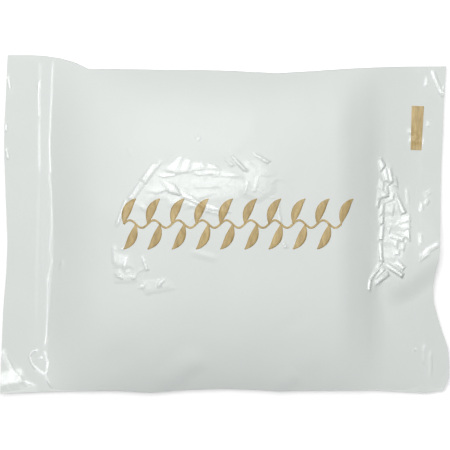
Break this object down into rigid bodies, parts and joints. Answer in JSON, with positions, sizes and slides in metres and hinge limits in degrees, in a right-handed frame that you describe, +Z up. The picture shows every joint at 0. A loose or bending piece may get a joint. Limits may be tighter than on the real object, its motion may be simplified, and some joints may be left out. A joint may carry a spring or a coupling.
{
  "type": "shower cap in sachet",
  "caption": "Folded elasticated shower cap sealed in a milky film sachet; the left end tears off and the cap slides out to that side.",
  "frame": {"origin": "middle of the sachet's length and width, on the surface that its back lies on", "axes": "+X along the sachet from the tear-off end to the marked end, +Y across it towards the top fold, +Z up out of its front"},
  "size_m": [0.12, 0.0905, 0.0093],
  "materials": {
    "sachet_film": "milky white glossy film, lightly crumpled",
    "sachet_weld": "heat-welded film, pressed smooth",
    "gold_ink": "satin gold printing ink",
    "cap_film": "thin translucent film with a slight sheen",
    "elastic": "covered elastic cord"
  },
  "bodies": {
    "sachet": {"front_panel": "sachet_film", "back_panel_upper": "sachet_film", "back_panel_lower": "sachet_film", "back_fin_seam": "sachet_weld", "right_end_seal": "sachet_weld", "right_skirt_front": "sachet_film", "right_skirt_back": "sachet_film"},
    "tear_end": {"left_shoulder_front": "sachet_film", "left_shoulder_back_upper": "sachet_film", "left_shoulder_back_lower": "sachet_film", "left_fin_seam": "sachet_weld", "left_end_seal": "sachet_weld", "left_skirt_front": "sachet_film", "left_skirt_back": "sachet_film"},
    "cap": {"cap_crown": "cap_film", "cap_hem": "cap_film", "cap_elastic": "elastic"}
  },
  "joints": [
    {"name": "tear_off", "type": "slide", "parent": "sachet", "child": "tear_end", "axis": [-1, 0, 0], "range_m": [0, 0.1]},
    {"name": "cap_slide", "type": "slide", "parent": "sachet", "child": "cap", "axis": [-1, 0, 0], "range_m": [0, 0.08]}
  ],
  "couplings": [
    {"joint": "cap_slide", "follows": "tear_off", "ratio": 0.8}
  ]
}
